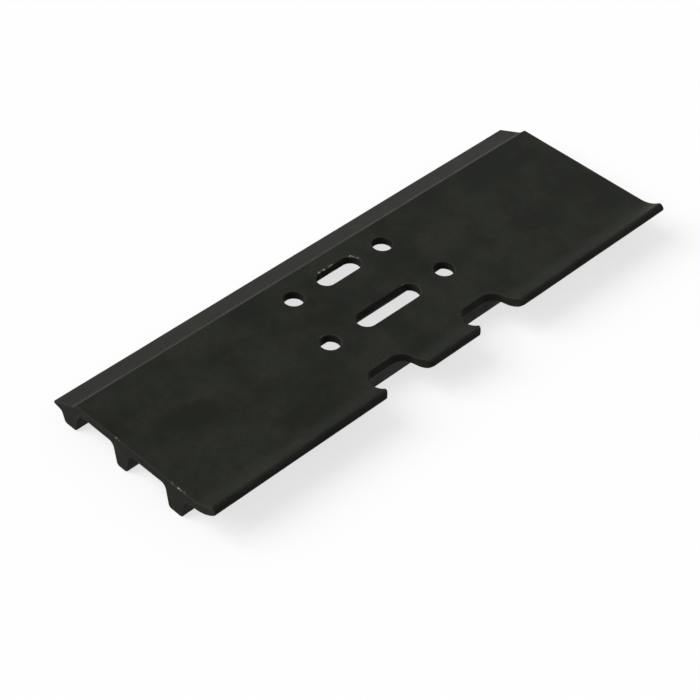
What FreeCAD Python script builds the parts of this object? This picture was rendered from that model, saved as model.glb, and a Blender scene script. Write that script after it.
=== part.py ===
"""Excavator track shoe with three grousers: one length of hot-rolled steel section.

The shoe lies as it would on the ground, on the tips of its grousers, with the flat
face that bolts to the track links on top.

Frame: X runs along the shoe, +Y points at the nose edge, where the section steps
down over the first grouser, and +Z points up at the links. The origin is on the
ground, under the middle of the shoe's length and breadth.
"""
import FreeCAD, Part
import math
import os

# ---- the bar that the shoe is cut from ---------------------------------------
SHOE_LENGTH = 700.0            # across the track, the length that is cut off
SHOE_BREADTH = 254.0           # along the track, from lip to nose
SECTION_HEIGHT = 40.0          # from the grouser tips to the link face
PLATE_THICKNESS = 11.0

# ---- grousers, the three ribs that dig into the ground -----------------------
MIDDLE_GROUSER_Y = 17.0
GROUSER_SPACING = 83.5
NOSE_GROUSER_TIP = 19.0        # breadth across each tip
MIDDLE_GROUSER_TIP = 16.0
LIP_GROUSER_TIP = 21.0
FLANK_DRAFT = 10.0             # degrees that a flank leans from upright
GROUSER_TIP_RADIUS = 5.0
GROUSER_ROOT_RADIUS = 7.0

# ---- nose: the edge that steps down from the link face -----------------------
STEP_TO_EDGE = 38.5            # from the crest of the step to the nose's edge
STEP_DROP = 7.0
STEP_SLOPE = 45.0              # degrees
STEP_CREST_RADIUS = 2.0
STEP_HOLLOW_RADIUS = 20.0
NOSE_DROP = 20.0               # from the link face to the top of the nose's edge
NOSE_THICKNESS = 3.0           # at its edge
NOSE_UNDER_SLOPE = 13.0        # degrees that its underside falls away inwards
NOSE_FLANK_DRAFT = 18.0        # degrees that the flank under the nose leans
NOSE_EDGE_RADIUS = 1.6
NOSE_ROOT_RADIUS = 5.0

# ---- lip: the edge that curls up to ride over the nose of the next shoe ------
LIP_TURN = 45.0                # degrees of curl
LIP_INNER_RADIUS = 40.0
LIP_OUTER_RADIUS = 48.0
LIP_EDGE_RADIUS = 4.2

# ---- bolt holes: four in a trapezium, one row in each valley -----------------
BOLT_HOLE_DIAMETER = 24.0
WIDE_ROW_SPACING = 178.4
NARROW_ROW_SPACING = 138.4
ROW_TO_ROW = 78.0
WIDE_ROW_Y = -22.0

# ---- slots that let packed mud out, one in the middle of each row ------------
WIDE_ROW_SLOT_LENGTH = 92.0
WIDE_ROW_SLOT_WIDTH = 25.0
NARROW_ROW_SLOT_LENGTH = 62.0
NARROW_ROW_SLOT_WIDTH = 24.0

# ---- notches in the lip, which clear the ends of the links -------------------
TAB_LENGTH = 80.0              # the lip that is left between the two notches
NOTCH_LENGTH = 64.0
NOTCH_INNER_RADIUS = 18.0
NOTCH_MOUTH_RADIUS = 8.0
NOTCH_TO_FLANK = 1.0           # from the notch to the root of the grouser's flank

# ---- worked out from the sizes above -----------------------------------------
LINK_FACE_Z = SECTION_HEIGHT
UNDERSIDE_Z = LINK_FACE_Z - PLATE_THICKNESS
NOSE_Y = SHOE_BREADTH / 2
LIP_Y = -SHOE_BREADTH / 2
NARROW_ROW_Y = WIDE_ROW_Y + ROW_TO_ROW
LEAN = math.tan(math.radians(FLANK_DRAFT))
CORNER_REACH = 0.49           # share of a straight that one rounded corner may take
CUT_MARGIN = 1.0               # how far a cutter stands out of what it cuts


def point(y, z, x=0.0):
    """A point of the section, in the plane across the bar."""
    return FreeCAD.Vector(x, y, z)


def arc_about(centre, radius, start, end):
    """The short arc about centre from start to end, which both lie on it."""
    towards = (start + end) * 0.5 - centre
    middle = centre + towards.normalize() * radius
    return Part.Arc(start, middle, end).toShape()


# ---- straight runs with rounded corners --------------------------------------
def corner_arc(before, corner, after, radius):
    """Start, middle and end of the arc that rounds one corner."""
    back = before - corner
    ahead = after - corner
    inside = back.getAngle(ahead)
    reach = CORNER_REACH * min(back.Length, ahead.Length)
    setback = min(radius / math.tan(inside / 2), reach)
    back.normalize()
    ahead.normalize()
    bisector = (back + ahead).normalize()
    radius = setback * math.tan(inside / 2)
    centre = corner + bisector * (radius / math.sin(inside / 2))
    return corner + back * setback, centre - bisector * radius, corner + ahead * setback


def rounded_run(stations):
    """Edges through (point, radius) stations; the first and last stay sharp."""
    edges = []
    pen = stations[0][0]
    for before, here, after in zip(stations, stations[1:], stations[2:]):
        start, middle, end = corner_arc(before[0], here[0], after[0], here[1])
        edges.append(Part.makeLine(pen, start))
        edges.append(Part.Arc(start, middle, end).toShape())
        pen = end
    edges.append(Part.makeLine(pen, stations[-1][0]))
    return edges


# ---- grousers ----------------------------------------------------------------
def flank_y(tip_y, side, z):
    """Where a flank that starts at tip_y on the ground stands at height z."""
    return tip_y + side * z * LEAN


def grouser_tips(middle_y, tip_breadth):
    """The lip-side and nose-side corners of a grouser's tip."""
    return middle_y - tip_breadth / 2, middle_y + tip_breadth / 2


def flank_stations(tip_y, side):
    """Root and tip of one flank, from the plate down."""
    root = (point(flank_y(tip_y, side, UNDERSIDE_Z), UNDERSIDE_Z), GROUSER_ROOT_RADIUS)
    tip = (point(tip_y, 0), GROUSER_TIP_RADIUS)
    return [root, tip]


LIP_GROUSER = grouser_tips(MIDDLE_GROUSER_Y - GROUSER_SPACING, LIP_GROUSER_TIP)
MIDDLE_GROUSER = grouser_tips(MIDDLE_GROUSER_Y, MIDDLE_GROUSER_TIP)
NOSE_GROUSER = grouser_tips(MIDDLE_GROUSER_Y + GROUSER_SPACING, NOSE_GROUSER_TIP)


def ground_side():
    """From the lip grouser's outer flank to the nose grouser's tip."""
    stations = []
    for lip_side, nose_side in (LIP_GROUSER, MIDDLE_GROUSER):
        stations += flank_stations(lip_side, -1)
        stations += reversed(flank_stations(nose_side, 1))
    stations += flank_stations(NOSE_GROUSER[0], -1)
    return stations


# ---- nose --------------------------------------------------------------------
def nose_side():
    """From the nose grouser's tip round the nose's edge to the link face."""
    tip_y = NOSE_GROUSER[1]
    top_z = LINK_FACE_Z - NOSE_DROP
    under_z = top_z - NOSE_THICKNESS
    fall = math.tan(math.radians(NOSE_UNDER_SLOPE))
    lean = math.tan(math.radians(NOSE_FLANK_DRAFT))
    root_z = (under_z - (NOSE_Y - tip_y) * fall) / (1 - lean * fall)
    crest_y = NOSE_Y - STEP_TO_EDGE
    hollow_y = crest_y + STEP_DROP / math.tan(math.radians(STEP_SLOPE))
    return [
        (point(tip_y, 0), GROUSER_TIP_RADIUS),
        (point(tip_y + root_z * lean, root_z), NOSE_ROOT_RADIUS),
        (point(NOSE_Y, under_z), NOSE_EDGE_RADIUS),
        (point(NOSE_Y, top_z), NOSE_EDGE_RADIUS),
        (point(hollow_y, LINK_FACE_Z - STEP_DROP), STEP_HOLLOW_RADIUS),
        (point(crest_y, LINK_FACE_Z), STEP_CREST_RADIUS),
    ]


# ---- lip ---------------------------------------------------------------------
def meet_circle(start, direction, centre, radius):
    """Where the ray from start, inside the circle, meets it."""
    out = start - centre
    along = out.dot(direction)
    gap = out.dot(out) - radius * radius
    return start + direction * (math.sqrt(along * along - gap) - along)


def lip_outline(start_y):
    """Edges round the lip, from link face to underside, and how far they reach."""
    turn = math.radians(LIP_TURN)
    down_face = point(-math.sin(turn), -math.cos(turn))
    inwards = point(math.cos(turn), -math.sin(turn))
    inner_centre = point(start_y, LINK_FACE_Z + LIP_INNER_RADIUS)
    outer_centre = point(start_y, UNDERSIDE_Z + LIP_OUTER_RADIUS)
    inset = inner_centre + inwards * LIP_EDGE_RADIUS
    top_reach = LIP_INNER_RADIUS + LIP_EDGE_RADIUS
    top_drop = math.sqrt(top_reach ** 2 - LIP_EDGE_RADIUS ** 2)
    top_round = inset + down_face * top_drop
    low_round = meet_circle(top_round, down_face, outer_centre, LIP_OUTER_RADIUS - LIP_EDGE_RADIUS)

    inner_end = inner_centre + (top_round - inner_centre).normalize() * LIP_INNER_RADIUS
    face_top = top_round - inwards * LIP_EDGE_RADIUS
    face_low = low_round - inwards * LIP_EDGE_RADIUS
    outer_end = outer_centre + (low_round - outer_centre).normalize() * LIP_OUTER_RADIUS
    edges = [
        arc_about(inner_centre, LIP_INNER_RADIUS, point(start_y, LINK_FACE_Z), inner_end),
        arc_about(top_round, LIP_EDGE_RADIUS, inner_end, face_top),
        Part.makeLine(face_top, face_low),
        arc_about(low_round, LIP_EDGE_RADIUS, face_low, outer_end),
        arc_about(outer_centre, LIP_OUTER_RADIUS, outer_end, point(start_y, UNDERSIDE_Z)),
    ]
    return edges, start_y - (low_round.y - LIP_EDGE_RADIUS)


def bar_section():
    """The rolled section, as one face across the bar."""
    reach = lip_outline(0.0)[1]
    curl_y = LIP_Y + reach
    lip_edges = lip_outline(curl_y)[0]
    under_start = (point(curl_y, UNDERSIDE_Z), 0.0)
    top_end = (point(curl_y, LINK_FACE_Z), 0.0)
    run = rounded_run([under_start] + ground_side() + nose_side() + [top_end])
    return Part.Face(Part.Wire(run + lip_edges))


# ---- holes, slots and notches ------------------------------------------------
def plate_cutter(outline):
    """A cutter through the plate from a closed outline drawn at height zero."""
    outline.translate(FreeCAD.Vector(0, 0, UNDERSIDE_Z - CUT_MARGIN))
    return Part.Face(outline).extrude(FreeCAD.Vector(0, 0, PLATE_THICKNESS + 2 * CUT_MARGIN))


def bolt_hole(x, y):
    circle = Part.makeCircle(BOLT_HOLE_DIAMETER / 2, FreeCAD.Vector(x, y, 0))
    return plate_cutter(Part.Wire(circle))


def mud_slot(y, length, width):
    """A slot with round ends, along the shoe."""
    radius = width / 2
    end_x = length / 2 - radius
    edges = []
    for side in (1, -1):
        start = FreeCAD.Vector(side * end_x, y - side * radius, 0)
        middle = FreeCAD.Vector(side * (end_x + radius), y, 0)
        end = FreeCAD.Vector(side * end_x, y + side * radius, 0)
        edges.append(Part.Arc(start, middle, end).toShape())
        edges.append(Part.makeLine(end, FreeCAD.Vector(-side * end_x, y + side * radius, 0)))
    return plate_cutter(Part.Wire(edges))


def lip_notch(side):
    """A notch right through the lip, with round inner corners and a round mouth."""
    inner_y = flank_y(LIP_GROUSER[0], -1, UNDERSIDE_Z) - NOTCH_TO_FLANK
    outside_y = LIP_Y - CUT_MARGIN
    near_x = TAB_LENGTH / 2
    far_x = near_x + NOTCH_LENGTH
    flare = NOTCH_MOUTH_RADIUS
    corners = [
        (near_x - 2 * flare, outside_y, 0.0),
        (near_x - 2 * flare, LIP_Y, 0.0),
        (near_x, LIP_Y, flare),
        (near_x, inner_y, NOTCH_INNER_RADIUS),
        (far_x, inner_y, NOTCH_INNER_RADIUS),
        (far_x, LIP_Y, flare),
        (far_x + 2 * flare, LIP_Y, 0.0),
        (far_x + 2 * flare, outside_y, 0.0),
    ]
    stations = [(FreeCAD.Vector(side * x, y, 0), radius) for x, y, radius in corners]
    run = rounded_run(stations[1:-1])
    outside = Part.makePolygon([stations[i][0] for i in (-2, -1, 0, 1)]).Edges
    face = Part.Face(Part.Wire(run + outside))
    return face.extrude(FreeCAD.Vector(0, 0, 2 * SECTION_HEIGHT))


def track_shoe():
    section = bar_section()
    section.translate(FreeCAD.Vector(-SHOE_LENGTH / 2, 0, 0))
    shoe = section.extrude(FreeCAD.Vector(SHOE_LENGTH, 0, 0))
    cutters = [
        mud_slot(WIDE_ROW_Y, WIDE_ROW_SLOT_LENGTH, WIDE_ROW_SLOT_WIDTH),
        mud_slot(NARROW_ROW_Y, NARROW_ROW_SLOT_LENGTH, NARROW_ROW_SLOT_WIDTH),
    ]
    for side in (1, -1):
        cutters.append(bolt_hole(side * WIDE_ROW_SPACING / 2, WIDE_ROW_Y))
        cutters.append(bolt_hole(side * NARROW_ROW_SPACING / 2, NARROW_ROW_Y))
        cutters.append(lip_notch(side))
    return shoe.cut(cutters)


def main():
    os.makedirs("parts", exist_ok=True)
    shoe = track_shoe()
    if not shoe.isValid() or len(shoe.Solids) != 1:
        raise RuntimeError("the shoe is not one sound solid")
    shoe.Solids[0].exportStep("parts/track_shoe.step")
    box = shoe.BoundBox
    print("box", round(box.XLength, 3), round(box.YLength, 3), round(box.ZLength, 3))
    print("y", round(box.YMin, 3), round(box.YMax, 3), "z", round(box.ZMin, 3), round(box.ZMax, 3))
    print("volume cm3", round(shoe.Volume / 1000, 1))


main()
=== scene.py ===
"""Excavator track shoe: a painted length of rolled steel, laid on its grousers."""
import math

import bmesh
import bpy
from bpy.props import FloatProperty, FloatVectorProperty, PointerProperty
from mathutils import Matrix, Vector, noise


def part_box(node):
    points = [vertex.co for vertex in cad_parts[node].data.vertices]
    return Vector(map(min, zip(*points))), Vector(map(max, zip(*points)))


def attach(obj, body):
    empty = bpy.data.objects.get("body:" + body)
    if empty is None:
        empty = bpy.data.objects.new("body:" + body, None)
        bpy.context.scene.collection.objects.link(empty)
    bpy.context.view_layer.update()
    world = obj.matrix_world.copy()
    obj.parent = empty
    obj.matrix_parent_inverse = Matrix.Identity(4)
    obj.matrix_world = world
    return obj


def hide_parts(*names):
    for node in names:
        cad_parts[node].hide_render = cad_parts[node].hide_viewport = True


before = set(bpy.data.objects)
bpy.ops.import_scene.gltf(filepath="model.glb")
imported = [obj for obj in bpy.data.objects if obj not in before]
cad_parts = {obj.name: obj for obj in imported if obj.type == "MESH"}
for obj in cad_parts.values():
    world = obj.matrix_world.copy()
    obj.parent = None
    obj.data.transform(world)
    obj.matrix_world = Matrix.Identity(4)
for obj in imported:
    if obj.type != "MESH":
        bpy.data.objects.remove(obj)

bl_info = {
    "name": "Track Shoe",
    "version": (1, 0, 0),
    "blender": (4, 5, 0),
    "location": "3D View > Sidebar > Track Shoe",
    "description": "Builds a three-grouser track shoe with its painted, worn finish",
    "category": "Object",
}

SHOE_NODE = "track_shoe"
CAD_LOW, CAD_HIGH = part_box(SHOE_NODE)
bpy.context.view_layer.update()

# Material slots of the shoe's mesh, in order. Faces start out rolled.
SURFACES = range(3)
ROLLED, SHEARED, PUNCHED = SURFACES

# Fineness of the mesh, and what counts as a rim, a crease or an edge that is worn and lightened
# with a painted highlight.
CORNER_REACH = 0.49            # share of a straight that one rounded corner may take
ARC_TURN = math.radians(11.0)  # most that one step round a small arc may turn
ARC_STEP = 0.0025              # longest step along a large arc
SMALL_ARC_STEPS = 8            # most steps that the turn alone asks for
END_ROUND_STEPS = 3
RIM_STEPS = 3
BURR_STEPS = 1
SLICE_X = 0.004
SLICE_Y = 0.005
SLICE_Z = 0.005
CUT_MARGIN = 0.002             # how far a cutter stands out of what it cuts
HOLE_SIDES = 72
SAME_SPOT = 1e-6               # vertices this close together are one
SLICE_REACH = 1e-5             # vertices this close to a slice lie on it
RIM_TURN = math.radians(35)    # least turn of an edge that is rounded as a rim
UPWARDS = 0.2                  # least rise of the normal of a face on the link side
CREASE_TURN = math.radians(38)  # least turn of an edge that shades as sharp
WEAR_AND_HIGHLIGHT_FROM = 0.10               # outward turn, in radians, from which an edge shows wear and a painted highlight
WEAR_AND_HIGHLIGHT_OVER = 0.35               # further turn at which wear and painted highlight are full

# Long waves of the rolled faces, as waves per metre along each axis.
LONG_WAVES = Vector((9, 16, 16))
SHORT_WAVES = 55
SHORT_WAVE_SHIFT = Vector((3.1, 7.7, 1.9))
SHORT_WAVE_SHARE = 0.4

# Finish.
GLOSS = 0.035                  # low, because the coat is flat and dusty
RUST_ROUGHNESS = 0.3
ROUGHNESS_DROP = 0.08          # clean paint is this much smoother
ROUGHNESS_RISE = 0.10          # and hazed paint this much rougher
# Outward edges are lightened all along: partly rubbed paint, partly a painted highlight where
# edges catch the light.
RUB_AND_HIGHLIGHT_SHARE = 0.5
RUB_AND_HIGHLIGHT_LIGHTENING = 2.6
BUMP_STRENGTH = 0.35
BUMP_HEIGHT = 0.0004

# Stage.
ROOM_LEVEL = 0.35
KEY_TOWARDS = (-0.55, 0.42, 0.72)
KEY_SPREAD = math.radians(50.0)
KEY_LEVEL = 0.90
LAMP_DISTANCE = 3.0
FLOOR_REACH = 6.0
FLOOR_GAP = 0.0002             # keeps the floor off the grouser tips
FLOOR_BOUNCE = (0.14, 0.14, 0.14, 1.0)
FLOOR_GLOW = 0.72
SENSOR_WIDTH = 36.0
VIEW_DEPTH = 100.0


# ---- settings ----------------------------------------------------------------
def distance(name, description, default):
    return FloatProperty(
        name=name, description=description, default=default, min=0.0,
        unit="LENGTH", subtype="DISTANCE", precision=4,
    )


def angle(name, description, default):
    return FloatProperty(
        name=name, description=description, default=math.radians(default), subtype="ANGLE",
    )


def share(name, description, default):
    return FloatProperty(
        name=name, description=description, default=default, min=0.0, max=1.0, subtype="FACTOR",
    )


def colour(name, description, default):
    return FloatVectorProperty(
        name=name, description=description, default=default, min=0.0, max=1.0,
        size=3, subtype="COLOR",
    )


class TrackShoeSizes(bpy.types.PropertyGroup):
    """Sizes of the bar and of what is cut into it."""
    length: distance("Length", "Across the track", CAD_HIGH.x - CAD_LOW.x)
    breadth: distance("Breadth", "Along the track, lip to nose", CAD_HIGH.y - CAD_LOW.y)
    height: distance("Section height", "Grouser tips to link face", 0.040)
    plate: distance("Plate", "Thickness between the grousers", 0.011)

    middle_y: distance("Middle grouser", "Place of the middle grouser", 0.017)
    grouser_spacing: distance("Grouser spacing", "From one grouser to the next", 0.0835)
    nose_tip: distance("Nose grouser tip", "Breadth across the tip", 0.019)
    middle_tip: distance("Middle grouser tip", "Breadth across the tip", 0.016)
    lip_tip: distance("Lip grouser tip", "Breadth across the tip", 0.021)
    draft: angle("Draft", "How far a flank leans from upright", 10.0)
    tip_radius: distance("Tip radius", "Rounding of the tips", 0.005)
    root_radius: distance("Root radius", "Rounding where a flank meets the plate", 0.007)

    step_to_edge: distance("Step to edge", "Crest of the step to the nose's edge", 0.0385)
    step_drop: distance("Step drop", "How far the step falls", 0.007)
    step_slope: angle("Step slope", "Slope of the step", 45.0)
    crest_radius: distance("Crest radius", "Rounding of the step's crest", 0.002)
    hollow_radius: distance("Hollow radius", "Rounding at the foot of the step", 0.020)
    nose_drop: distance("Nose drop", "Link face to the top of the nose's edge", 0.020)
    nose_thickness: distance("Nose edge", "Thickness of the nose at its edge", 0.003)
    nose_slope: angle("Nose underside", "Fall of the nose's underside", 13.0)
    nose_draft: angle("Nose draft", "Lean of the flank under the nose", 18.0)
    nose_edge_radius: distance("Nose edge radius", "Rounding of the nose's edge", 0.0016)
    nose_root_radius: distance("Nose root radius", "Rounding under the nose", 0.005)

    lip_turn: angle("Lip turn", "How far the lip curls", 45.0)
    lip_inner: distance("Lip inner radius", "Radius of the lip's upper face", 0.040)
    lip_outer: distance("Lip outer radius", "Radius of the lip's lower face", 0.048)
    lip_edge_radius: distance("Lip edge radius", "Rounding of the lip's edge", 0.0042)

    hole_diameter: distance("Bolt hole", "Diameter of the bolt holes", 0.024)
    wide_spacing: distance("Wide row", "Between the holes of the wide row", 0.1784)
    narrow_spacing: distance("Narrow row", "Between the holes of the narrow row", 0.1384)
    wide_row_from_lip: distance("Wide row place", "Lip edge to the wide row", 0.105)
    row_to_row: distance("Row to row", "Between the two rows", 0.078)
    wide_slot_length: distance("Wide row slot", "Length of the slot", 0.092)
    wide_slot_width: distance("Wide row slot width", "Width of the slot", 0.025)
    narrow_slot_length: distance("Narrow row slot", "Length of the slot", 0.062)
    narrow_slot_width: distance("Narrow row slot width", "Width of the slot", 0.024)

    tab_length: distance("Tab", "Lip left between the notches", 0.080)
    notch_length: distance("Notch", "Length of each notch", 0.064)
    notch_radius: distance("Notch corner radius", "Rounding of the inner corners", 0.018)
    notch_mouth: distance("Notch mouth radius", "Rounding of the mouth", 0.008)
    notch_to_flank: distance("Notch to flank", "Notch to the lip grouser's root", 0.001)

    end_round: distance("End rounding", "Rounding of the sheared ends", 0.0009)
    rim_round: distance("Rim rounding", "Rolled-over rim on the link side", 0.0012)
    burr_round: distance("Burr rounding", "Rim on the ground side", 0.0004)
    waviness: distance("Waviness", "Height of the rolled faces' long waves", 0.00016)


class TrackShoeFinish(bpy.types.PropertyGroup):
    """Colours of the paint, of what has settled on it, and of the painted highlight on its
    edges.
    """
    paint: colour("Paint", "The black coat", (0.0122, 0.0136, 0.0108))
    haze: colour("Haze", "Dull film where hands and oil have been", (0.0215, 0.0232, 0.0190))
    soil: colour("Soil", "Brown dust in the hollows", (0.034, 0.027, 0.017))
    rust: colour("Rust", "Rust on the cut walls", (0.060, 0.026, 0.014))
    steel: colour("Steel", "Bright steel where the paint is off", (0.42, 0.41, 0.38))
    # Paint off the edges in chips, and a painted highlight along every outward edge.
    wear_and_highlight: share("Edge wear and highlight", "How much paint is off the edges", 0.35)


class TrackShoeStage(bpy.types.PropertyGroup):
    """Floor, camera and lights."""
    floor: colour("Floor", "Colour of the floor and backdrop", (0.98, 0.98, 0.98))
    azimuth: angle("Azimuth", "Direction the camera looks in, from +X", 43.850)
    elevation: angle("Elevation", "How far the camera looks down", 42.862)
    roll: angle("Roll", "Turn of the camera about its view", 2.104)
    reach: distance("Distance", "From the camera to where it aims", 2.2472)
    lens: FloatProperty(name="Lens", description="Focal length in mm", default=104.64, min=1.0)
    aim: FloatVectorProperty(
        name="Aim", description="Where the camera aims", size=3,
        default=(-0.04726, -0.01147, -0.00529), subtype="XYZ", unit="LENGTH",
    )


# ---- outlines ----------------------------------------------------------------
def arc_points(centre, start, end):
    """Points along the short arc from start to end about centre."""
    arm = start - centre
    sweep = arm.angle_signed(end - centre)
    steps = max(
        math.ceil(abs(sweep) * arm.length / ARC_STEP),
        math.ceil(min(abs(sweep) / ARC_TURN, SMALL_ARC_STEPS)),
        2,
    )
    turns = [Matrix.Rotation(-sweep * i / steps, 2) for i in range(steps + 1)]
    return [centre + turn @ arm for turn in turns]


def rounded_corner(before, corner, after, radius):
    """Points that round one corner of an outline."""
    if radius == 0.0:
        return [corner]
    back = before - corner
    ahead = after - corner
    inside = back.angle(ahead)
    setback = min(radius / math.tan(inside / 2), CORNER_REACH * min(back.length, ahead.length))
    back.normalize()
    ahead.normalize()
    to_centre = setback / math.cos(inside / 2)
    centre = corner + (back + ahead).normalized() * to_centre
    return arc_points(centre, corner + back * setback, corner + ahead * setback)


def rounded_outline(corners):
    """Points of an open run of (point, radius) corners, ends left sharp."""
    points = [corners[0][0]]
    for before, here, after in zip(corners, corners[1:], corners[2:]):
        points += rounded_corner(before[0], here[0], after[0], here[1])
    points.append(corners[-1][0])
    return points


class Section:
    """The rolled section: its levels and its outline, as (y, z) points."""

    def __init__(self, sizes):
        self.sizes = sizes
        self.top = sizes.height
        self.under = sizes.height - sizes.plate
        self.lean = math.tan(sizes.draft)
        self.nose_y = sizes.breadth / 2
        self.lip_y = -sizes.breadth / 2
        spacing = sizes.grouser_spacing
        self.lip_tips = self.tips(sizes.middle_y - spacing, sizes.lip_tip)
        self.middle_tips = self.tips(sizes.middle_y, sizes.middle_tip)
        self.nose_tips = self.tips(sizes.middle_y + spacing, sizes.nose_tip)

    def tips(self, middle, breadth):
        return middle - breadth / 2, middle + breadth / 2

    def flank(self, tip_y, side, z):
        """Where a flank that starts at tip_y on the ground stands at height z."""
        return tip_y + side * z * self.lean

    def flank_corners(self, tip_y, side):
        root = Vector((self.flank(tip_y, side, self.under), self.under))
        return [(root, self.sizes.root_radius), (Vector((tip_y, 0)), self.sizes.tip_radius)]

    def ground_corners(self):
        corners = []
        for lip_side, nose_side in (self.lip_tips, self.middle_tips):
            corners += self.flank_corners(lip_side, -1)
            corners += reversed(self.flank_corners(nose_side, 1))
        return corners + self.flank_corners(self.nose_tips[0], -1)

    def nose_corners(self):
        s = self.sizes
        tip_y = self.nose_tips[1]
        top_z = self.top - s.nose_drop
        under_z = top_z - s.nose_thickness
        fall = math.tan(s.nose_slope)
        lean = math.tan(s.nose_draft)
        root_z = (under_z - (self.nose_y - tip_y) * fall) / (1 - lean * fall)
        crest_y = self.nose_y - s.step_to_edge
        hollow_y = crest_y + s.step_drop / math.tan(s.step_slope)
        return [
            (Vector((tip_y, 0)), s.tip_radius),
            (Vector((tip_y + root_z * lean, root_z)), s.nose_root_radius),
            (Vector((self.nose_y, under_z)), s.nose_edge_radius),
            (Vector((self.nose_y, top_z)), s.nose_edge_radius),
            (Vector((hollow_y, self.top - s.step_drop)), s.hollow_radius),
            (Vector((crest_y, self.top)), s.crest_radius),
        ]

    def lip_points(self, start_y):
        """Points round the lip, from the link face to the underside."""
        s = self.sizes
        down_face = Vector((-math.sin(s.lip_turn), -math.cos(s.lip_turn)))
        inwards = Vector((math.cos(s.lip_turn), -math.sin(s.lip_turn)))
        edge = s.lip_edge_radius
        inner = Vector((start_y, self.top + s.lip_inner))
        outer = Vector((start_y, self.under + s.lip_outer))
        drop = math.sqrt((s.lip_inner + edge) ** 2 - edge ** 2)
        top_round = inner + inwards * edge + down_face * drop
        out = top_round - outer
        along = out.dot(down_face)
        gap = out.dot(out) - (s.lip_outer - edge) ** 2
        low_round = top_round + down_face * (math.sqrt(along * along - gap) - along)
        inner_end = inner + (top_round - inner).normalized() * s.lip_inner
        outer_end = outer + (low_round - outer).normalized() * s.lip_outer
        points = arc_points(inner, Vector((start_y, self.top)), inner_end)
        points += arc_points(top_round, inner_end, top_round - inwards * edge)[1:]
        points += arc_points(low_round, low_round - inwards * edge, outer_end)
        points += arc_points(outer, outer_end, Vector((start_y, self.under)))[1:-1]
        return points

    def outline(self):
        """The closed outline, counter-clockwise seen from +X."""
        reach = -min(p.x for p in self.lip_points(0.0))
        curl_y = self.lip_y + reach
        under_start = (Vector((curl_y, self.under)), 0.0)
        top_end = (Vector((curl_y, self.top)), 0.0)
        run = rounded_outline(
            [under_start] + self.ground_corners() + self.nose_corners() + [top_end]
        )
        return run[:-1] + self.lip_points(curl_y)


def outward_normals(points):
    """Unit normals that point out of a counter-clockwise outline."""
    normals = []
    for before, here, after in zip(points[-1:] + points, points, points[1:] + points[:1]):
        along = (here - before).normalized() + (after - here).normalized()
        normals.append(Vector((along.y, -along.x)).normalized())
    return normals


# ---- meshes ------------------------------------------------------------------
def skin_loops(bm, loops):
    """Quads between neighbouring closed loops of vertices."""
    for near, far in zip(loops, loops[1:]):
        for i in range(len(near)):
            j = (i + 1) % len(near)
            bm.faces.new((near[i], near[j], far[j], far[i]))


def bar_mesh(section, sizes):
    """The bar, with its sheared ends slightly rounded."""
    points = section.outline()
    normals = outward_normals(points)
    bm = bmesh.new()
    half = sizes.length / 2
    stations = []
    for i in range(END_ROUND_STEPS + 1):
        turn = math.pi / 2 * i / END_ROUND_STEPS
        inset = sizes.end_round * (1 - math.sin(turn))
        stations.append((half - sizes.end_round * (1 - math.cos(turn)), inset))
    near_end = [(-x, inset) for x, inset in stations]
    far_end = list(reversed(stations))
    loops = []
    for x, inset in near_end + far_end:
        ring = [p - n * inset for p, n in zip(points, normals)]
        loops.append([bm.verts.new((x, p.x, p.y)) for p in ring])
    skin_loops(bm, loops)
    for loop in (loops[0], loops[-1]):
        bm.faces.new(loop).material_index = SHEARED
    bmesh.ops.recalc_face_normals(bm, faces=bm.faces)
    return bm


def prism(bm, outline, low, high, material):
    """A closed upright prism on an (x, y) outline."""
    rings = [[bm.verts.new((p.x, p.y, z)) for p in outline] for z in (low, high)]
    first = len(bm.faces)
    skin_loops(bm, rings)
    bm.faces.new(reversed(rings[0]))
    bm.faces.new(rings[1])
    bm.faces.ensure_lookup_table()
    for face in bm.faces[first:]:
        face.material_index = material


def slot_outline(y, length, width):
    radius = width / 2
    end_x = length / 2 - radius
    points = []
    steps = HOLE_SIDES // 2
    for side in (1, -1):
        for i in range(steps + 1):
            turn = math.pi * i / steps - math.pi / 2
            x = side * (end_x + radius * math.cos(turn))
            points.append(Vector((x, y + side * radius * math.sin(turn))))
    return points


def hole_outline(x, y, diameter):
    turns = [2 * math.pi * i / HOLE_SIDES for i in range(HOLE_SIDES)]
    radius = diameter / 2
    return [Vector((x + radius * math.cos(t), y + radius * math.sin(t))) for t in turns]


def notch_outline(section, sizes, side):
    inner_y = section.flank(section.lip_tips[0], -1, section.under) - sizes.notch_to_flank
    lip_y = section.lip_y
    flare = sizes.notch_mouth
    near = sizes.tab_length / 2
    far = near + sizes.notch_length
    corners = [
        (near - 2 * flare, lip_y - CUT_MARGIN, 0.0),
        (near - 2 * flare, lip_y, 0.0),
        (near, lip_y, flare),
        (near, inner_y, sizes.notch_radius),
        (far, inner_y, sizes.notch_radius),
        (far, lip_y, flare),
        (far + 2 * flare, lip_y, 0.0),
        (far + 2 * flare, lip_y - CUT_MARGIN, 0.0),
    ]
    return rounded_outline([(Vector((side * x, y)), radius) for x, y, radius in corners])


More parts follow.
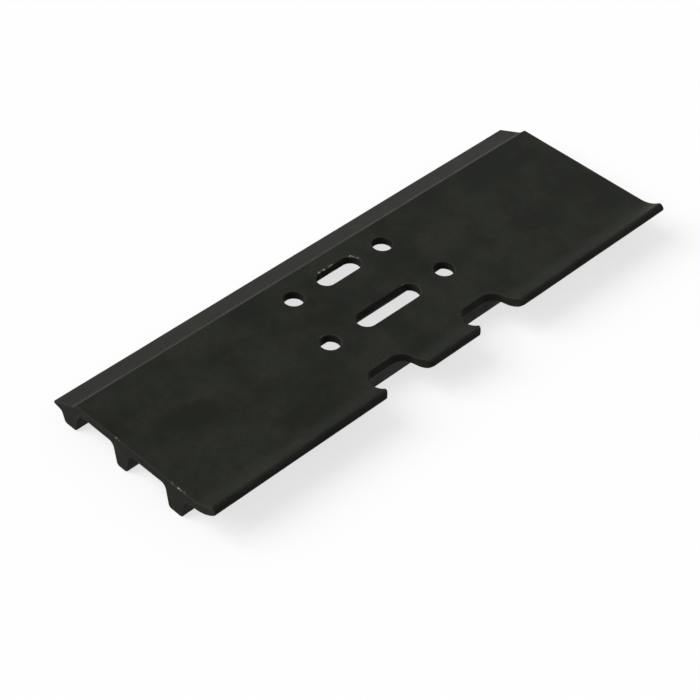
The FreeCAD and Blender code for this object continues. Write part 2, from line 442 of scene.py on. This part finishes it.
def cutter_mesh(section, sizes):
    """Every hole, slot and notch as one set of closed prisms."""
    bm = bmesh.new()
    low = section.under - CUT_MARGIN
    high = section.top + CUT_MARGIN
    wide_y = section.lip_y + sizes.wide_row_from_lip
    narrow_y = wide_y + sizes.row_to_row
    outlines = [
        slot_outline(wide_y, sizes.wide_slot_length, sizes.wide_slot_width),
        slot_outline(narrow_y, sizes.narrow_slot_length, sizes.narrow_slot_width),
    ]
    for side in (1, -1):
        for y, spacing in ((wide_y, sizes.wide_spacing), (narrow_y, sizes.narrow_spacing)):
            outlines.append(hole_outline(side * spacing / 2, y, sizes.hole_diameter))
    for outline in outlines:
        prism(bm, outline, low, high, PUNCHED)
    for side in (1, -1):
        prism(bm, notch_outline(section, sizes, side), 0.0, 2 * sizes.height, PUNCHED)
    bmesh.ops.recalc_face_normals(bm, faces=bm.faces)
    return bm


def object_from(bm, name):
    mesh = bpy.data.meshes.new(name)
    bm.to_mesh(mesh)
    bm.free()
    obj = bpy.data.objects.new(name, mesh)
    bpy.context.scene.collection.objects.link(obj)
    return obj


def cut_away(bar, cutter):
    """The bar's mesh without what the cutter takes out, as a new bmesh."""
    for obj in (bar, cutter):
        for _ in SURFACES:
            obj.data.materials.append(None)
    boolean = bar.modifiers.new("Cut", "BOOLEAN")
    boolean.operation = "DIFFERENCE"
    boolean.solver = "EXACT"
    boolean.material_mode = "INDEX"
    boolean.object = cutter
    graph = bpy.context.evaluated_depsgraph_get()
    cut = bpy.data.meshes.new_from_object(bar.evaluated_get(graph), depsgraph=graph)
    bm = bmesh.new()
    bm.from_mesh(cut)
    bpy.data.meshes.remove(cut)
    for obj in (bar, cutter):
        mesh = obj.data
        bpy.data.objects.remove(obj)
        bpy.data.meshes.remove(mesh)
    return bm


def round_rims(bm, sizes):
    """Rolls the rims of holes, slots and notches over, more on the link side."""
    link_side, ground_side = [], []
    for edge in bm.edges:
        if len(edge.link_faces) != 2 or edge.calc_length() < SAME_SPOT:
            continue
        walls = [f for f in edge.link_faces if f.material_index == PUNCHED]
        others = [f for f in edge.link_faces if f.material_index != PUNCHED]
        if len(walls) == 1 and edge.calc_face_angle() > RIM_TURN:
            upper = others[0].normal.z > UPWARDS
            (link_side if upper else ground_side).append(edge)
    for edges, offset, segments in (
        (link_side, sizes.rim_round, RIM_STEPS),
        (ground_side, sizes.burr_round, BURR_STEPS),
    ):
        edges = [e for e in edges if e.is_valid]
        bmesh.ops.bevel(
            bm, geom=edges, offset=offset, offset_type="OFFSET", segments=segments,
            profile=0.5, affect="EDGES", clamp_overlap=False, loop_slide=True, material=-1,
        )


def slice_up(bm, low, high):
    """Cuts the large faces up along a grid, so that they can bend."""
    axes = ((1, SLICE_Y), (2, SLICE_Z), (0, SLICE_X))
    for axis, step in axes:
        count = int((high[axis] - low[axis]) / step)
        normal = Vector([1.0 if i == axis else 0.0 for i in range(3)])
        for i in range(1, count + 1):
            spot = Vector(low)
            spot[axis] = low[axis] + (high[axis] - low[axis]) * i / (count + 1)
            everything = bm.verts[:] + bm.edges[:] + bm.faces[:]
            bmesh.ops.bisect_plane(
                bm, geom=everything, dist=SLICE_REACH, plane_co=spot, plane_no=normal,
            )


def roll_waves(bm, height):
    """Long shallow waves, as rolling leaves them."""
    bm.normal_update()
    moves = []
    for vert in bm.verts:
        long_wave = noise.noise(vert.co * LONG_WAVES)
        short_wave = noise.noise(vert.co * SHORT_WAVES + SHORT_WAVE_SHIFT)
        moves.append(vert.normal * height * (long_wave + SHORT_WAVE_SHARE * short_wave))
    for vert, move in zip(bm.verts, moves):
        vert.co += move


def mark_edges(bm):
    """Stores how sharply the surface turns outwards at each vertex, 0 to 1."""
    layer = bm.verts.layers.float.new("edge")
    for edge in bm.edges:
        if len(edge.link_faces) != 2:
            continue
        turn = edge.calc_face_angle_signed(0.0)
        edge.smooth = abs(turn) < CREASE_TURN
        # Outward turn that drives the edge wear and the painted edge highlight.
        wear_and_highlight_level = min(1.0, max(0.0, (turn - WEAR_AND_HIGHLIGHT_FROM) / WEAR_AND_HIGHLIGHT_OVER))
        for vert in edge.verts:
            vert[layer] = max(vert[layer], wear_and_highlight_level)
    for face in bm.faces:
        face.smooth = True


# ---- finish ------------------------------------------------------------------
def new_group(name, inputs, outputs):
    """A shader node group with named sockets, and its input and output nodes."""
    tree = bpy.data.node_groups.new(name, "ShaderNodeTree")
    for socket, kind, default in inputs:
        made = tree.interface.new_socket(name=socket, in_out="INPUT", socket_type=kind)
        made.default_value = default
    for socket, kind in outputs:
        tree.interface.new_socket(name=socket, in_out="OUTPUT", socket_type=kind)
    return tree, tree.nodes.new("NodeGroupInput"), tree.nodes.new("NodeGroupOutput")


def add_noise(tree, position, scale, detail, roughness=0.5):
    node = tree.nodes.new("ShaderNodeTexNoise")
    node.inputs["Scale"].default_value = scale
    node.inputs["Detail"].default_value = detail
    node.inputs["Roughness"].default_value = roughness
    tree.links.new(position, node.inputs["Vector"])
    return node.outputs["Fac"]


def remap(tree, value, low, high, to_low=0.0, to_high=1.0):
    node = tree.nodes.new("ShaderNodeMapRange")
    node.interpolation_type = "SMOOTHSTEP"
    node.inputs["From Min"].default_value = low
    node.inputs["From Max"].default_value = high
    node.inputs["To Min"].default_value = to_low
    node.inputs["To Max"].default_value = to_high
    tree.links.new(value, node.inputs["Value"])
    return node.outputs["Result"]


def calculate(tree, operation, first, second):
    node = tree.nodes.new("ShaderNodeMath")
    node.operation = operation
    node.use_clamp = True
    for socket, value in zip(node.inputs, (first, second)):
        if isinstance(value, (int, float)):
            socket.default_value = value
        else:
            tree.links.new(value, socket)
    return node.outputs["Value"]


def blend_colours(tree, factor, first, second):
    node = tree.nodes.new("ShaderNodeMix")
    node.data_type = "RGBA"
    for name, value in (("Factor", factor), ("A", first), ("B", second)):
        socket = next(s for s in node.inputs if s.name == name and s.enabled)
        if isinstance(value, (int, float, tuple)):
            socket.default_value = value
        else:
            tree.links.new(value, socket)
    return next(s for s in node.outputs if s.enabled)


def object_position(tree):
    return tree.nodes.new("ShaderNodeTexCoord").outputs["Object"]


def mottle_group():
    """Dull blotches and brown dust over a coat of paint."""
    tree, source, result = new_group(
        "Mottled Paint",
        [
            ("Paint", "NodeSocketColor", (0.01, 0.01, 0.01, 1)),
            ("Haze", "NodeSocketColor", (0.02, 0.02, 0.02, 1)),
            ("Soil", "NodeSocketColor", (0.03, 0.03, 0.02, 1)),
            ("Soil Amount", "NodeSocketFloat", 0.3),
        ],
        [("Color", "NodeSocketColor"), ("Haze", "NodeSocketFloat")],
    )
    position = object_position(tree)
    blotches = remap(tree, add_noise(tree, position, 17.0, 4.0, 0.6), 0.36, 0.66)
    specks = remap(tree, add_noise(tree, position, 420.0, 3.0, 0.65), 0.38, 0.68)
    haze = calculate(tree, "MULTIPLY", blotches, calculate(tree, "ADD", 0.45, specks))
    coat = blend_colours(tree, haze, source.outputs["Paint"], source.outputs["Haze"])
    drift = remap(tree, add_noise(tree, position, 31.0, 6.0, 0.7), 0.50, 0.74)
    soil = calculate(tree, "MULTIPLY", drift, source.outputs["Soil Amount"])
    dusty = blend_colours(tree, soil, coat, source.outputs["Soil"])
    tree.links.new(dusty, result.inputs["Color"])
    tree.links.new(haze, result.inputs["Haze"])
    return tree


def edge_wear_and_highlight_group():
    """Where paint has come off: scattered chips along the outward edges; and a band along every
    outward edge, partly rubbed paint and partly a painted highlight.
    """
    tree, source, result = new_group(
        "Edge Wear And Highlight",
        [("Amount", "NodeSocketFloat", 0.3)],
        [("Bare", "NodeSocketFloat"), ("Rubbed And Highlight", "NodeSocketFloat")],
    )
    edge = tree.nodes.new("ShaderNodeAttribute")
    edge.attribute_name = "edge"
    position = object_position(tree)
    patches = remap(tree, add_noise(tree, position, 24.0, 3.0, 0.6), 0.60, 0.72)
    chips = remap(tree, add_noise(tree, position, 260.0, 4.0, 0.7), 0.46, 0.58)
    scatter = calculate(tree, "MULTIPLY", patches, chips)
    sharp = remap(tree, edge.outputs["Fac"], 0.15, 0.75)
    bare = calculate(tree, "MULTIPLY", scatter, sharp)
    chipped = calculate(tree, "MULTIPLY", source.outputs["Amount"], 2.0)
    # Rubbed band: every outward edge, partly real rubbing and partly a painted highlight.
    rubbed_and_highlight = calculate(tree, "MULTIPLY", sharp, source.outputs["Amount"])
    tree.links.new(calculate(tree, "MULTIPLY", bare, chipped), result.inputs["Bare"])
    tree.links.new(rubbed_and_highlight, result.inputs["Rubbed And Highlight"])
    return tree


def grain_group():
    """Height of the steel's skin: fine scale, with a few pits."""
    tree, source, result = new_group(
        "Rolled Grain",
        [("Grain", "NodeSocketFloat", 0.5), ("Pits", "NodeSocketFloat", 0.5)],
        [("Height", "NodeSocketFloat")],
    )
    position = object_position(tree)
    scale = add_noise(tree, position, 900.0, 4.0, 0.6)
    fine = calculate(tree, "MULTIPLY", scale, source.outputs["Grain"])
    hollows = remap(tree, add_noise(tree, position, 210.0, 2.0), 0.62, 0.76)
    pits = calculate(tree, "MULTIPLY", hollows, source.outputs["Pits"])
    height = calculate(tree, "SUBTRACT", calculate(tree, "ADD", 0.5, fine), pits)
    tree.links.new(height, result.inputs["Height"])
    return tree


def place_group(tree, group, values):
    node = tree.nodes.new("ShaderNodeGroup")
    node.node_tree = group
    for name, value in values.items():
        node.inputs[name].default_value = value
    return node


def rgba(value):
    return (*value, 1.0)


def steel_material(name, finish, groups, soil, grain, pits, rust, roughness):
    """Painted steel; rust says how far the coat gives way to rust."""
    material = bpy.data.materials.new(name)
    material.use_nodes = True
    tree = material.node_tree
    shader = tree.nodes["Principled BSDF"]
    mottle = place_group(tree, groups["mottle"], {
        "Paint": rgba(finish.paint), "Haze": rgba(finish.haze),
        "Soil": rgba(finish.soil), "Soil Amount": soil,
    })
    wear_and_highlight = place_group(tree, groups["wear_and_highlight"], {"Amount": finish.wear_and_highlight})
    skin = place_group(tree, groups["grain"], {"Grain": grain, "Pits": pits})

    position = object_position(tree)
    spots = add_noise(tree, position, 85.0, 5.0, 0.7)
    bloom = remap(tree, spots, 0.62 - 0.3 * rust, 0.86 - 0.3 * rust)
    rusted = calculate(tree, "MULTIPLY", bloom, rust)
    coat = blend_colours(tree, rusted, mottle.outputs["Color"], rgba(finish.rust))
    # Outward edges lightened all along: partly rubbed paint, partly a painted highlight where
    # edges catch the light.
    rubbed_and_highlight = calculate(tree, "MULTIPLY", wear_and_highlight.outputs["Rubbed And Highlight"], RUB_AND_HIGHLIGHT_SHARE)
    rub_and_highlight_colour = tuple(RUB_AND_HIGHLIGHT_LIGHTENING * c for c in finish.haze)
    coat = blend_colours(tree, rubbed_and_highlight, coat, rgba(rub_and_highlight_colour))
    tree.links.new(
        blend_colours(tree, wear_and_highlight.outputs["Bare"], coat, rgba(finish.steel)),
        shader.inputs["Base Color"],
    )
    tree.links.new(wear_and_highlight.outputs["Bare"], shader.inputs["Metallic"])
    smoothest = roughness - ROUGHNESS_DROP
    roughest = roughness + ROUGHNESS_RISE
    rough = remap(tree, mottle.outputs["Haze"], 0.0, 1.0, smoothest, roughest)
    rust_rough = calculate(tree, "MULTIPLY", rusted, RUST_ROUGHNESS)
    tree.links.new(calculate(tree, "ADD", rough, rust_rough), shader.inputs["Roughness"])
    shader.inputs["Specular IOR Level"].default_value = GLOSS

    bump = tree.nodes.new("ShaderNodeBump")
    bump.inputs["Strength"].default_value = BUMP_STRENGTH
    bump.inputs["Distance"].default_value = BUMP_HEIGHT
    tree.links.new(skin.outputs["Height"], bump.inputs["Height"])
    tree.links.new(bump.outputs["Normal"], shader.inputs["Normal"])
    return material


def shoe_materials(finish):
    groups = {"mottle": mottle_group(), "wear_and_highlight": edge_wear_and_highlight_group(), "grain": grain_group()}
    return [
        steel_material(
            "Rolled Face Paint", finish, groups,
            soil=0.35, grain=0.4, pits=0.25, rust=0.06, roughness=0.50,
        ),
        steel_material(
            "Sheared End Paint", finish, groups,
            soil=0.55, grain=0.9, pits=0.5, rust=0.35, roughness=0.62,
        ),
        steel_material(
            "Punched Wall Paint", finish, groups,
            soil=0.30, grain=0.8, pits=0.4, rust=0.45, roughness=0.62,
        ),
    ]


# ---- stage -------------------------------------------------------------------
def seen_rays(tree):
    """1 for rays that show the background: straight, by gloss or through glass."""
    rays = tree.nodes.new("ShaderNodeLightPath")
    seen = calculate(tree, "ADD", rays.outputs["Is Camera Ray"], rays.outputs["Is Glossy Ray"])
    return calculate(tree, "ADD", seen, rays.outputs["Is Transmission Ray"])


def floor_material(finish_colour):
    """A white floor that shows white to the eye and to gloss, and keeps the shadow."""
    material = bpy.data.materials.new("White Floor")
    material.use_nodes = True
    tree = material.node_tree
    tree.nodes.clear()
    output = tree.nodes.new("ShaderNodeOutputMaterial")
    seen = seen_rays(tree)
    diffuse = tree.nodes.new("ShaderNodeBsdfDiffuse")
    shown = blend_colours(tree, seen, FLOOR_BOUNCE, rgba(finish_colour))
    tree.links.new(shown, diffuse.inputs["Color"])
    white = tree.nodes.new("ShaderNodeEmission")
    white.inputs["Strength"].default_value = 1.0
    mix = tree.nodes.new("ShaderNodeMixShader")
    tree.links.new(calculate(tree, "MULTIPLY", seen, FLOOR_GLOW), mix.inputs["Fac"])
    tree.links.new(diffuse.outputs[0], mix.inputs[1])
    tree.links.new(white.outputs[0], mix.inputs[2])
    tree.links.new(mix.outputs[0], output.inputs["Surface"])
    return material


def make_floor(settings):
    """A floor that reaches far past the edges of the view."""
    bm = bmesh.new()
    signs = ((-1, -1), (1, -1), (1, 1), (-1, 1))
    bm.faces.new([bm.verts.new((x * FLOOR_REACH, y * FLOOR_REACH, 0.0)) for x, y in signs])
    floor = object_from(bm, "floor")
    floor.location.z = CAD_LOW.z - FLOOR_GAP
    floor.data.materials.append(floor_material(settings.floor))


def make_world(strength):
    world = bpy.data.worlds.new("White Room")
    bpy.context.scene.world = world
    world.use_nodes = True
    tree = world.node_tree
    background = tree.nodes["Background"]
    background.inputs["Color"].default_value = (1.0, 1.0, 1.0, 1.0)
    level = remap(tree, seen_rays(tree), 0.0, 1.0, strength, 1.0)
    tree.links.new(level, background.inputs["Strength"])


def add_sky_lamp(name, towards, spread, level):
    """A very large, far lamp; level is what it gives a white face turned to it."""
    data = bpy.data.lights.new(name, "SUN")
    data.angle = spread
    data.energy = level * math.pi
    lamp = bpy.data.objects.new(name, data)
    bpy.context.scene.collection.objects.link(lamp)
    lamp.location = Vector(towards).normalized() * LAMP_DISTANCE
    lamp.rotation_euler = Vector(towards).to_track_quat("Z", "Y").to_euler()


def make_camera(settings):
    turn, rise, roll = settings.azimuth, settings.elevation, settings.roll
    ahead, across = math.cos(turn), math.sin(turn)
    forward = Vector((math.cos(rise) * ahead, math.cos(rise) * across, -math.sin(rise)))
    level = Vector((across, -ahead, 0.0))
    upright = level.cross(forward)
    right = level * math.cos(roll) + upright * math.sin(roll)
    up = upright * math.cos(roll) - level * math.sin(roll)
    data = bpy.data.cameras.new("Camera")
    data.sensor_width = SENSOR_WIDTH
    data.lens = settings.lens
    data.clip_end = VIEW_DEPTH
    camera = bpy.data.objects.new("Camera", data)
    bpy.context.scene.collection.objects.link(camera)
    turned = Matrix((right, up, -forward)).transposed().to_4x4()
    stand = Matrix.Translation(Vector(settings.aim) - forward * settings.reach)
    camera.matrix_world = stand @ turned
    bpy.context.scene.camera = camera


# ---- operators ---------------------------------------------------------------
class TRACKSHOE_OT_build_shoe(bpy.types.Operator):
    """Builds the shoe and its finish in place of the plain solid"""
    bl_idname = "track_shoe.build_shoe"
    bl_label = "Build Shoe"
    bl_options = {"REGISTER", "UNDO"}

    def execute(self, context):
        sizes = context.scene.track_shoe_sizes
        section = Section(sizes)
        bar = object_from(bar_mesh(section, sizes), "bar")
        cutter = object_from(cutter_mesh(section, sizes), "cutter")
        bm = cut_away(bar, cutter)
        bmesh.ops.remove_doubles(bm, verts=bm.verts, dist=SAME_SPOT)
        round_rims(bm, sizes)
        slice_up(bm, CAD_LOW, CAD_HIGH)
        mark_edges(bm)
        roll_waves(bm, sizes.waviness)
        shoe = object_from(bm, "shoe")
        for material in shoe_materials(context.scene.track_shoe_finish):
            shoe.data.materials.append(material)
        weighted = shoe.modifiers.new("Weighted Normals", "WEIGHTED_NORMAL")
        weighted.keep_sharp = True
        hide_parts(SHOE_NODE)
        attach(shoe, "root")
        return {"FINISHED"}


class TRACKSHOE_OT_build_stage(bpy.types.Operator):
    """Sets up the white floor, the soft lights and the camera"""
    bl_idname = "track_shoe.build_stage"
    bl_label = "Build Stage"
    bl_options = {"REGISTER", "UNDO"}

    def execute(self, context):
        settings = context.scene.track_shoe_stage
        make_floor(settings)
        make_world(ROOM_LEVEL)
        add_sky_lamp("key", KEY_TOWARDS, KEY_SPREAD, KEY_LEVEL)
        make_camera(settings)
        context.scene.view_settings.view_transform = "Standard"
        return {"FINISHED"}


class TRACKSHOE_PT_sidebar(bpy.types.Panel):
    """Sizes, finish and stage of the track shoe"""
    bl_idname = "TRACKSHOE_PT_sidebar"
    bl_label = "Track Shoe"
    bl_space_type = "VIEW_3D"
    bl_region_type = "UI"
    bl_category = "Track Shoe"

    def draw(self, context):
        layout = self.layout
        scene = context.scene
        layout.operator(TRACKSHOE_OT_build_shoe.bl_idname)
        layout.operator(TRACKSHOE_OT_build_stage.bl_idname)
        for group in (scene.track_shoe_sizes, scene.track_shoe_finish, scene.track_shoe_stage):
            box = layout.box()
            for name in group.__annotations__:
                box.prop(group, name)


CLASSES = (
    TrackShoeSizes,
    TrackShoeFinish,
    TrackShoeStage,
    TRACKSHOE_OT_build_shoe,
    TRACKSHOE_OT_build_stage,
    TRACKSHOE_PT_sidebar,
)


def register():
    for cls in CLASSES:
        bpy.utils.register_class(cls)
    bpy.types.Scene.track_shoe_sizes = PointerProperty(type=TrackShoeSizes)
    bpy.types.Scene.track_shoe_finish = PointerProperty(type=TrackShoeFinish)
    bpy.types.Scene.track_shoe_stage = PointerProperty(type=TrackShoeStage)


def unregister():
    del bpy.types.Scene.track_shoe_sizes
    del bpy.types.Scene.track_shoe_finish
    del bpy.types.Scene.track_shoe_stage
    for cls in reversed(CLASSES):
        bpy.utils.unregister_class(cls)


def main():
    register()
    bpy.ops.track_shoe.build_shoe()
    bpy.ops.track_shoe.build_stage()


if __name__ == "__main__":
    main()
